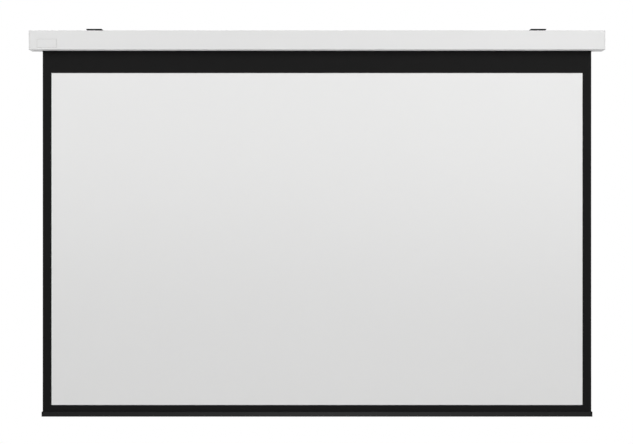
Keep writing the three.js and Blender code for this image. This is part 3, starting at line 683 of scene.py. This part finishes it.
# The power inlet in the left end cap: a black moulded socket with a flange, and three brass pins.
black_plastic = finish(
    "black_plastic",
    grain,
    {"Scale": 2600, "Drift": 0.3},
    colors=((0.012, 0.012, 0.0125), (0.018, 0.018, 0.0185)),
    roughness=(0.36, 0.5),
    relief=0.00002,
    specular=0.4,
)
brass = finish(
    "brass",
    drawn,
    {"Across": 900, "Along": 900, "Spangle": 0.2},
    colors=((0.66, 0.46, 0.2), (0.76, 0.56, 0.27)),
    roughness=(0.24, 0.36),
    relief=0.000005,
    metallic=1.0,
)
inlet_edge = 0.0006
pin_edge = 0.0004
fit(eased("inlet_socket", "power_inlet", inlet_edge, steps=3), "casing", black_plastic)
for pin in ("live", "earth", "neutral"):
    fit(eased(f"socket_pin_{pin}", f"inlet_pin_{pin}", pin_edge, steps=3), "casing", brass)


# The lead from the inlet to the motor: a short round cable inside the casing, with a moulded boot
# where it leaves the socket and another where it enters the motor's head.
cable_black = finish(
    "cable_black",
    grain,
    {"Scale": 1800, "Drift": 0.3},
    colors=((0.016, 0.016, 0.016), (0.024, 0.024, 0.024)),
    roughness=(0.5, 0.62),
    relief=0.00001,
    specular=0.35,
)
lead_radius = 0.0025
boot_share = 1.4  # of the lead's radius, at each end
bend_share = 0.35  # of the way from the bend's corner, where its handles stand
low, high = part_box("motor_lead")
lead_z = (low.z + high.z) / 2
lead_start = Vector((low.x, high.y - lead_radius, lead_z))
lead_end = Vector((high.x - lead_radius, low.y, lead_z))
straight = 2 * lead_radius
bend_from = lead_start + Vector((straight, 0, 0))
bend_to = lead_end + Vector((0, straight, 0))
bend_corner = Vector((lead_end.x, lead_start.y, lead_z))
bpy.ops.curve.primitive_bezier_curve_add()
lead = bpy.context.object
lead.name = lead.data.name = "lead_to_motor"
spline = lead.data.splines[0]
spline.bezier_points.add(2)
for point, place, back, ahead, swell in zip(
    spline.bezier_points,
    (lead_start, bend_from, bend_to, lead_end),
    (lead_start, lead_start, bend_corner.lerp(bend_to, bend_share), bend_to),
    (bend_from, bend_corner.lerp(bend_from, bend_share), lead_end, lead_end),
    (boot_share, 1, 1, boot_share),
):
    point.handle_left_type = point.handle_right_type = "FREE"
    point.co, point.handle_left, point.handle_right = place, back, ahead
    point.radius = swell
lead.location = (0, 0, 0)
lead.data.bevel_depth = lead_radius
lead.data.bevel_resolution = 6
lead.data.resolution_u = 16
lead.data.use_fill_caps = True
choose(lead)
bpy.ops.object.convert(target="MESH")
bpy.ops.object.shade_smooth_by_angle(angle=math.radians(crease_angle))
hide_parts("motor_lead")
fit(lead, "casing", cable_black)


# The tubular motor inside the roller's left end: a moulded head, held by its square boss, and a
# drawn steel sleeve, rolled in at the seams between the units that it holds.
motor_steel = finish(
    "motor_steel",
    drawn,
    {"Across": 700, "Along": 8, "Spangle": 0.15},
    colors=((0.42, 0.43, 0.45), (0.58, 0.59, 0.61)),
    roughness=(0.3, 0.46),
    relief=0.00001,
    metallic=1.0,
)
inner_edge = 0.0004
seam_depth = 0.0003
seam_width = 0.0016
sleeve_wall = 0.0012
sleeve_edge = 0.0002
sleeve_sides = 96
fit(eased("motor_end_head", "motor_head", inner_edge), "casing", black_plastic)


def grooved(radius, start, end, places, depth, width):
    """The outside of a turned piece, from end to end, with a groove at each place."""
    outline = [(radius, start)]
    for place in places:
        outline += [
            (radius, place - width / 2),
            (radius - depth, place - width / 4),
            (radius - depth, place + width / 4),
            (radius, place + width / 2),
        ]
    return [*outline, (radius, end)]


low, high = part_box("motor_tube")
motor_axis = (low + high) / 2
sleeve_radius = (high.z - low.z) / 2
seams = [
    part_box("motor_capacitor")[1].x,
    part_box("motor_windings")[1].x,
    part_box("motor_brake")[1].x,
]
sleeve = turned(
    "motor_sleeve",
    motor_axis,
    "X",
    [
        (sleeve_radius - sleeve_wall, low.x),
        *grooved(sleeve_radius, low.x, high.x, seams, seam_depth, seam_width),
        (sleeve_radius - sleeve_wall, high.x),
    ],
    ring=True,
    sides=sleeve_sides,
)
soften(sleeve, sleeve_edge)
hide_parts("motor_tube")
fit(sleeve, "casing", motor_steel)

# The capacitor is a plastic can with a rolled neck and two flat terminals that face the head.
grey_plastic = finish(
    "grey_plastic",
    grain,
    {"Scale": 2000, "Drift": 0.3},
    colors=((0.14, 0.145, 0.15), (0.18, 0.185, 0.19)),
    roughness=(0.46, 0.6),
    relief=0.00002,
)
tab_length = 0.007
tab_width = 0.0063
tab_thickness = 0.0008
tab_spread = 0.007
tab_corner = 0.0012
tab_edge = 0.0001
can_neck = 0.005
can_neck_depth = 0.0012
can_neck_width = 0.003
can_edge = 0.0012
low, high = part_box("motor_capacitor")
can_radius = (high.z - low.z) / 2
can_face = low.x + tab_length
can = turned(
    "start_capacitor",
    motor_axis,
    "X",
    grooved(
        can_radius, can_face, high.x, [can_face + can_neck], can_neck_depth, can_neck_width
    ),
)
soften(can, can_edge, steps=3)
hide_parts("motor_capacitor")
fit(can, "casing", grey_plastic)
for word, way in (("live", -1), ("neutral", 1)):
    middle = motor_axis.y + way * tab_spread
    tab = block(
        f"capacitor_tab_{word}",
        (low.x, middle - tab_thickness / 2, motor_axis.z - tab_width / 2),
        (can_face + tab_thickness, middle + tab_thickness / 2, motor_axis.z + tab_width / 2),
    )
    pick_edges(
        tab, lambda middle, way: abs(way.y) > aligned and middle.x < low.x + tab_thickness
    )
    bpy.ops.mesh.bevel(offset=tab_corner, segments=2)
    leave_edit()
    soften(tab, tab_edge)
    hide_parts("motor_capacitor")
    fit(tab, "casing", zinc_steel)

# The stator is a stack of steel laminations with a ring of varnished copper wire at each end.
laminated = finish(
    "lamination_steel",
    drawn,
    {"Across": 6, "Along": 2000, "Spangle": 0.1},
    colors=((0.2, 0.2, 0.21), (0.34, 0.34, 0.35)),
    roughness=(0.4, 0.55),
    relief=0.00004,
    metallic=0.9,
)
copper_wound = finish(
    "copper_wound",
    drawn,
    {"Across": 300, "Along": 1800, "Spangle": 0.1},
    colors=((0.34, 0.15, 0.06), (0.56, 0.28, 0.13)),
    roughness=(0.35, 0.5),
    relief=0.0002,
    metallic=0.6,
)
core_edge = 0.0003
coil_share = 0.12  # of the stator's length, at each end
coil_thick_share = 0.36  # of the stator's radius
coil_bundles = 24
coil_ripple_share = 0.03  # of the coil's radius
coil_sides = 240
coil_round_sides = 20
coil_crease = 60
low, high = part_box("motor_windings")
core_radius = (high.z - low.z) / 2
coil_room = coil_share * (high.x - low.x)
core = turned(
    "stator_core",
    motor_axis,
    "X",
    [(core_radius, low.x + coil_room), (core_radius, high.x - coil_room)],
    sides=sleeve_sides,
)
soften(core, core_edge)
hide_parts("motor_windings")
fit(core, "casing", laminated)
for word, middle in (("left", low.x + coil_room / 2), ("right", high.x - coil_room / 2)):
    thick = core_radius * coil_thick_share
    bpy.ops.mesh.primitive_torus_add(
        major_radius=core_radius - thick / (1 - coil_ripple_share),
        minor_radius=thick * (1 - coil_ripple_share),
        major_segments=coil_sides,
        minor_segments=coil_round_sides,
        location=(middle, motor_axis.y, motor_axis.z),
        rotation=(0, math.pi / 2, 0),
    )
    coil = bpy.context.object
    coil.name = coil.data.name = f"winding_{word}"
    coil.scale = (1, 1, coil_room / 2 / thick)
    choose(coil)
    bpy.ops.object.transform_apply()
    # Each bundle of wire stands out a little from the ring.
    for vertex in coil.data.vertices:
        across = Vector((0, vertex.co.y - motor_axis.y, vertex.co.z - motor_axis.z))
        turn = math.atan2(across.z, across.y)
        swell = 1 - coil_ripple_share * (0.5 + 0.5 * math.cos(coil_bundles * turn))
        vertex.co = motor_axis + across * swell + Vector((vertex.co.x - motor_axis.x, 0, 0))
    smooth(coil, coil_crease)
    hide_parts("motor_windings")
    fit(coil, "casing", copper_wound)

# The brake is a black bobbin, and the gearbox a row of three drawn stages round the output shaft.
bobbin_flange = 0.003
bobbin_depth = 0.0025
low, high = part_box("motor_brake")
brake_radius = (high.z - low.z) / 2
bobbin = turned(
    "brake_bobbin",
    motor_axis,
    "X",
    [
        (brake_radius, low.x),
        (brake_radius, low.x + bobbin_flange),
        (brake_radius - bobbin_depth, low.x + bobbin_flange),
        (brake_radius - bobbin_depth, high.x - bobbin_flange),
        (brake_radius, high.x - bobbin_flange),
        (brake_radius, high.x),
    ],
)
soften(bobbin, inner_edge)
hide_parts("motor_brake")
fit(bobbin, "casing", black_plastic)

stages = 3
stage_groove = 0.0006
running_gap = 0.0003
shaft_low, shaft_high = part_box("output_shaft")
shaft_bore = (shaft_high.z - shaft_low.z) / 2 + running_gap
low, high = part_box("motor_gearbox")
joints = [low.x + (high.x - low.x) * number / stages for number in range(1, stages)]
gears = turned(
    "gear_housing",
    motor_axis,
    "X",
    [
        *grooved(brake_radius, low.x, high.x, joints, stage_groove, 2 * seam_width),
        (shaft_bore, high.x),
        (shaft_bore, shaft_low.x - running_gap),
    ],
)
soften(gears, inner_edge)
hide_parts("motor_gearbox")
fit(gears, "casing", motor_steel)

# What the roller runs on: the crown ring and the drive wheel round the motor, moulded in grey
# plastic, and at the other end a plug with a steel pin in a black bearing.
for node, name, body, material in (
    ("crown_ring", "crown_sleeve", "roller", grey_plastic),
    ("output_shaft", "drive_shaft", "roller", zinc_steel),
    ("drive_wheel", "drive_adapter", "roller", grey_plastic),
    ("idle_plug", "idle_end_plug", "roller", grey_plastic),
    ("idle_pin", "idle_end_pin", "roller", zinc_steel),
    ("idle_bearing", "idle_end_bearing", "casing", black_plastic),
):
    fit(eased(name, node, inner_edge), body, material)

# The two limit screws under the motor's head are turned brass, each with a hexagon socket.
limit_edge = 0.0002
for word in ("up", "down"):
    screw = eased(f"setting_screw_{word}", f"limit_screw_{word}", limit_edge)
    fit(screw, f"limit_{word}", brass)


# The roller is a drawn aluminium tube. A turn and a half of the cloth stays wound on it, stuck down
# along its end with tape.
roller_aluminium = finish(
    "roller_aluminium",
    drawn,
    {"Across": 800, "Along": 6, "Spangle": 0.1},
    colors=((0.56, 0.57, 0.59), (0.72, 0.73, 0.75)),
    roughness=(0.34, 0.5),
    relief=0.00002,
    metallic=1.0,
)
low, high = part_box("roller_tube")
roller_axis = (low + high) / 2
tube_radius = (high.z - low.z) / 2
tube_wall = 0.0015
tube_edge = 0.0003
tube = turned(
    "roller_pipe",
    roller_axis,
    "X",
    [
        (tube_radius - tube_wall, low.x),
        (tube_radius, low.x),
        (tube_radius, high.x),
        (tube_radius - tube_wall, high.x),
    ],
    ring=True,
    sides=sleeve_sides,
)
soften(tube, tube_edge)
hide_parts("roller_tube")
fit(tube, "roller", roller_aluminium)

# Weave: warp and weft threads on the cloth's own measure, with the fine tooth of its coating.
tooth_scale = 2600
tooth_detail = 2
cloth_cloud_scale = 2.5
weave, start, end = pattern_group("weave", {"Threads": 1600, "Tooth": 0.5, "Drift": 0.2})
parts = weave.nodes.new("ShaderNodeSeparateXYZ")
weave.links.new(start.outputs["Place"], parts.inputs[0])
threads = []
for axis in ("X", "Y"):
    turns = add_math(weave, "MULTIPLY", parts.outputs[axis], start.outputs["Threads"])
    wave = add_math(weave, "SINE", add_math(weave, "MULTIPLY", turns, 2 * math.pi), 0)
    threads.append(add_math(weave, "ABSOLUTE", wave, 0))
crossing = add_math(weave, "MAXIMUM", threads[0], threads[1])
tooth = add_noise(weave, start.outputs["Place"], tooth_scale, tooth_detail)
rough_part = add_math(weave, "MULTIPLY", tooth, start.outputs["Tooth"])
smooth_share = add_math(weave, "SUBTRACT", 1, start.outputs["Tooth"])
woven = add_math(weave, "ADD", rough_part, add_math(weave, "MULTIPLY", crossing, smooth_share))
clouds = add_noise(weave, start.outputs["Place"], cloth_cloud_scale, cloud_detail)
drift = add_math(weave, "MULTIPLY", clouds, start.outputs["Drift"])
rest = add_math(weave, "SUBTRACT", 1, start.outputs["Drift"])
weave.links.new(
    add_math(weave, "ADD", drift, add_math(weave, "MULTIPLY", woven, rest)), end.inputs["Tone"]
)
weave.links.new(woven, end.inputs["Relief"])

screen_black = finish(
    "screen_black",
    weave,
    {"Threads": 1400, "Tooth": 0.4, "Drift": 0.3},
    colors=((0.0077, 0.0077, 0.0077), (0.0123, 0.0123, 0.0123)),
    roughness=(0.6, 0.75),
    relief=0.00005,
    specular=0.04,
    coords="UV",
)
tape_white = finish(
    "tape_white",
    weave,
    {"Threads": 700, "Tooth": 0.7, "Drift": 0.2},
    colors=((0.72, 0.72, 0.7), (0.78, 0.78, 0.76)),
    roughness=(0.4, 0.55),
    relief=0.00002,
    coords="UV",
)


cloth_crease = 40


def cloth_piece(name, columns, rows, lay, thickness):
    """A sheet with half its thickness to each side. For each share across and along it, lay gives
    the place on the flat cloth, in metres, which is its UV map, and where that place lies."""
    bpy.ops.mesh.primitive_grid_add(x_subdivisions=columns, y_subdivisions=rows, size=1)
    piece = bpy.context.object
    piece.name = piece.data.name = name
    flat = {}
    for vertex in piece.data.vertices:
        flat[vertex.index], vertex.co = lay(vertex.co.x + 0.5, vertex.co.y + 0.5)
    for loop in piece.data.loops:
        piece.data.uv_layers.active.data[loop.index].uv = flat[loop.vertex_index]
    choose(piece)
    wall = piece.modifiers.new("wall", "SOLIDIFY")
    wall.thickness = thickness
    wall.offset = 0
    wall.use_even_offset = True
    bpy.ops.object.modifier_apply(modifier=wall.name)
    bpy.ops.object.shade_smooth_by_angle(angle=math.radians(cloth_crease))
    return piece


def strip(name, line, low_x, high_x, columns, thickness):
    """A strip of cloth or tape that runs along the casing and follows a line of [y, z] points."""
    lengths = [0]
    for one, other in zip(line, line[1:]):
        lengths.append(lengths[-1] + math.dist(one, other))

    def lay(across, along):
        row = round(along * (len(line) - 1))
        x = low_x + across * (high_x - low_x)
        return (x, lengths[row]), (x, *line[row])

    return cloth_piece(name, columns, len(line) - 1, lay, thickness)


def polar(centre, radius, angle):
    """A point on a circle across the casing."""
    return centre.y + radius * math.cos(angle), centre.z + radius * math.sin(angle)


cloth_thickness = 0.0005
layer_gap = 0.0003  # between the cloth and what it lies on
wound_columns = 62
wound_turns = 1.5
turn_pitch = 0.00095
turn_steps = 60
low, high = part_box("screen_fabric")
cloth_low_x, cloth_high_x = low.x, high.x
cloth_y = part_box("picture_surface")[1].y + layer_gap + cloth_thickness / 2
wound_radius = cloth_y - roller_axis.y
spiral = []
for step in range(round(wound_turns * turn_steps) + 1):
    turns = step / turn_steps
    spiral.append(polar(roller_axis, wound_radius - turns * turn_pitch, 2 * math.pi * turns))
wound = strip("wound_cloth", spiral, cloth_low_x, cloth_high_x, wound_columns, cloth_thickness)
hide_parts("wound_fabric")
fit(wound, "roller", screen_black)

tape_thickness = 0.0003
tape_share = 0.12
tape_steps = 12
tape_columns = 40
tape_radius = tube_radius + layer_gap + tape_thickness / 2
tape_end = 2 * math.pi * wound_turns
tape_line = [
    polar(roller_axis, tape_radius, tape_end - 2 * math.pi * tape_share * step / tape_steps)
    for step in range(tape_steps + 1)
]
tape = strip("cloth_tape", tape_line, cloth_low_x, cloth_high_x, tape_columns, tape_thickness)
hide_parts("fixing_tape")
fit(tape, "roller", tape_white)


# The screen: a black-coated glass-fibre cloth hanging from the back of the roller, with the white
# layer that takes the picture on its front. It hangs flat, with the faintest ripple between its
# ends and its side edges curling back a little.
ripple = 0.0008
ripple_pitch = 0.31
curl = 0.0012
curl_width = 0.035
ripple_wander = 0.7
wander_rate = 3
cloth_columns = 155
cloth_rows = 96
coat_columns = 150
coat_rows = 86
coat_thickness = 0.0002
hem_sink = 0.001  # how far inside the weight bar the sheet ends and its hem begins
screen_white = finish(
    "screen_white",
    weave,
    {"Threads": 1400, "Tooth": 0.7, "Drift": 0.25},
    colors=((0.828, 0.828, 0.824), (0.852, 0.852, 0.848)),
    roughness=(0.86, 0.96),
    relief=0.00002,
    specular=0.2,
    coords="UV",
)
hem_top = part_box("weight_bar")[1].z - hem_sink
sheet_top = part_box("screen_fabric")[1].z


def hang(x, z):
    """How far behind its plane the cloth hangs at a place."""
    drop = (sheet_top - z) / (sheet_top - hem_top)
    free = math.sin(math.pi * min(max(drop, 0), 1))
    turn = 2 * math.pi * x / ripple_pitch + ripple_wander * math.sin(wander_rate * x)
    wave = ripple * (0.5 + 0.5 * math.sin(turn))
    edge = max(0, abs(x) - (cloth_high_x - curl_width)) / curl_width
    return free * (wave + curl * edge * edge)


def hanging_sheet(name, foot_corner, top_corner, y, columns, rows, thickness):
    """A sheet between two [x, z] corners that hangs across the casing from its top edge."""
    left, foot = foot_corner
    right, top = top_corner

    def lay(across, along):
        x = left + across * (right - left)
        z = foot + along * (top - foot)
        return (x, z), (x, y + hang(x, z), z)

    return cloth_piece(name, columns, rows, lay, thickness)


sheet = hanging_sheet(
    "screen_cloth",
    (cloth_low_x, hem_top),
    (cloth_high_x, sheet_top),
    cloth_y,
    cloth_columns,
    cloth_rows,
    cloth_thickness,
)
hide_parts("screen_fabric")
fit(sheet, "casing", screen_black)
low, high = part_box("picture_surface")
coat = hanging_sheet(
    "picture_coat",
    (low.x, low.z),
    (high.x, high.z),
    (low.y + high.y) / 2,
    coat_columns,
    coat_rows,
    coat_thickness,
)
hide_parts("picture_surface")
fit(coat, "casing", screen_white)

# The hem: the cloth's foot goes round a rod in the weight bar's channel and back up beside itself.
hem_steps = 40
hem_columns = 62
hem_start_gap = 0.0001
rod_edge = 0.0004
low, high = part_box("hem_rod")
rod_axis = (low + high) / 2
rod_radius = (high.z - low.z) / 2
hem_radius = rod_radius + layer_gap + cloth_thickness / 2
meet = math.asin(cloth_thickness / hem_radius)
hem_line = [(cloth_y, hem_top - hem_start_gap)]
for step in range(hem_steps + 1):
    turn = (2 * math.pi - meet) * step / hem_steps
    hem_line.append(polar(Vector((0, cloth_y, rod_axis.z)), hem_radius, math.pi / 2 + turn))
hem = strip("screen_hem", hem_line, cloth_low_x, cloth_high_x, hem_columns, cloth_thickness)
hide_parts("screen_fabric")
fit(hem, "foot_bar", screen_black)
rod = turned(
    "hem_wire",
    rod_axis,
    "X",
    [(rod_radius, low.x), (rod_radius, high.x)],
    sides=32,
)
soften(rod, rod_edge)
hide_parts("hem_rod")
fit(rod, "foot_bar", grey_plastic)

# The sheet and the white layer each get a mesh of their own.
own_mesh(sheet)
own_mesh(coat)


# The weight bar: an aluminium profile in satin black with a steel ballast bar in its hollow, and a
# moulded cap pushed into each end.
bar_black = finish(
    "bar_black",
    grain,
    {"Scale": 1500, "Drift": 0.3},
    colors=((0.004, 0.004, 0.0042), (0.007, 0.007, 0.0072)),
    roughness=(0.32, 0.4),
    relief=0.00002,
    specular=0.13,
)
bar_cap_black = finish(
    "bar_cap_black",
    grain,
    {"Scale": 2200, "Drift": 0.3},
    colors=((0.004, 0.004, 0.004), (0.007, 0.007, 0.007)),
    roughness=(0.5, 0.64),
    relief=0.00003,
    specular=0.1,
)
bar_edge = 0.0004
ballast_edge = 0.0006
bar_cap_edge = 0.0012
fit(eased("foot_profile", "weight_bar", bar_edge), "foot_bar", bar_black)
fit(eased("ballast_strip", "ballast_bar", ballast_edge), "foot_bar", zinc_steel)
for side in ("left", "right"):
    cap = eased(f"foot_cap_{side}", f"bar_cap_{side}", bar_cap_edge, steps=4)
    fit(cap, "foot_bar", bar_cap_black)
